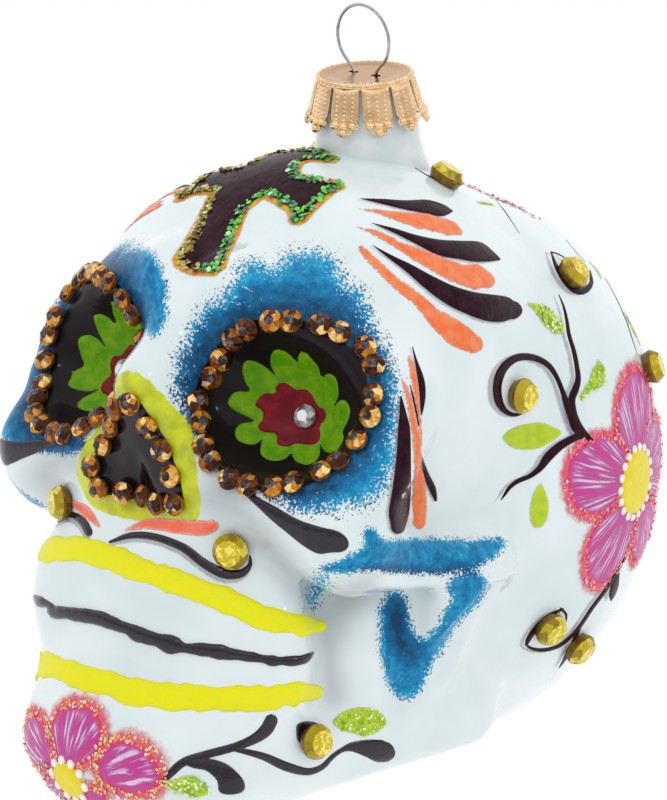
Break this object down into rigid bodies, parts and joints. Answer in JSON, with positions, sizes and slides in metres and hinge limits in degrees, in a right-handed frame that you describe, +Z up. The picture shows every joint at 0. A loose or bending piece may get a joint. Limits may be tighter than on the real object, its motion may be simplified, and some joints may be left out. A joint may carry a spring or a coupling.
{
  "type": "glass skull ornament",
  "caption": "Hanging glass skull ornament: a hollow painted head on a neck with a crown cap, a sprung wire loop, and facet stones round its eyes and nose.",
  "frame": {"origin": "the hook point: inside the top of the wire loop, where a hook carries the ornament", "axes": "+Z up, the face looks towards -Y, +X is the skull's own left side"},
  "size_m": [0.0662, 0.1002, 0.1045],
  "materials": {
    "glass": "gloss",
    "amber_stone": "gloss",
    "olive_stone": "gloss",
    "crystal": "gloss",
    "cap": "satin",
    "wire": "polished"
  },
  "bodies": {
    "skull": {"glass_skull": "glass", "left_eye_crystal": "crystal", "right_eye_crystal": "crystal", "left_eye_stone_last": "amber_stone", "left_eye_stones_01": "amber_stone", "left_eye_stones_02": "amber_stone", "left_eye_stones_03": "amber_stone", "left_eye_stones_04": "amber_stone", "left_eye_stones_05": "amber_stone", "left_eye_stones_06": "amber_stone", "left_eye_stones_07": "amber_stone", "left_eye_stones_08": "amber_stone", "left_eye_stones_09": "amber_stone", "left_eye_stones_10": "amber_stone", "left_eye_stones_11": "amber_stone", "right_eye_stone_last": "amber_stone", "right_eye_stones_01": "amber_stone", "right_eye_stones_02": "amber_stone", "right_eye_stones_03": "amber_stone", "right_eye_stones_04": "amber_stone", "right_eye_stones_05": "amber_stone", "right_eye_stones_06": "amber_stone", "right_eye_stones_07": "amber_stone", "right_eye_stones_08": "amber_stone", "right_eye_stones_09": "amber_stone", "right_eye_stones_10": "amber_stone", "right_eye_stones_11": "amber_stone", "nose_stone_01": "amber_stone", "nose_stone_02": "amber_stone", "nose_stone_03": "amber_stone", "nose_stone_04": "amber_stone", "nose_stone_05": "amber_stone", "nose_stone_06": "amber_stone", "nose_stone_07": "amber_stone", "nose_stone_08": "amber_stone", "nose_stone_09": "amber_stone", "nose_stone_10": "amber_stone", "nose_stone_11": "amber_stone", "nose_stone_12": "amber_stone", "nose_stone_13": "amber_stone", "left_back_stone": "olive_stone", "left_chin_stone": "olive_stone", "left_crown_stone": "olive_stone", "left_jaw_stone": "olive_stone", "left_lip_stone": "olive_stone", "left_nape_stone": "olive_stone", "left_neck_stone": "olive_stone", "left_temple_stone": "olive_stone", "right_back_stone": "olive_stone", "right_chin_stone": "olive_stone", "right_crown_stone": "olive_stone", "right_jaw_stone": "olive_stone", "right_lip_stone": "olive_stone", "right_nape_stone": "olive_stone", "right_neck_stone": "olive_stone", "right_temple_stone": "olive_stone"},
    "cap": {"crown_cap": "cap"},
    "hanger": {"hanger_wire": "wire"}
  },
  "joints": [
    {"name": "cap_lift", "type": "slide", "parent": "skull", "child": "cap", "axis": [0, -0.0698, 0.9976], "range_m": [0, 0.025]},
    {"name": "hanger_slide", "type": "slide", "parent": "cap", "child": "hanger", "axis": [0, -0.0698, 0.9976], "range_m": [0, 0.0025]}
  ]
}
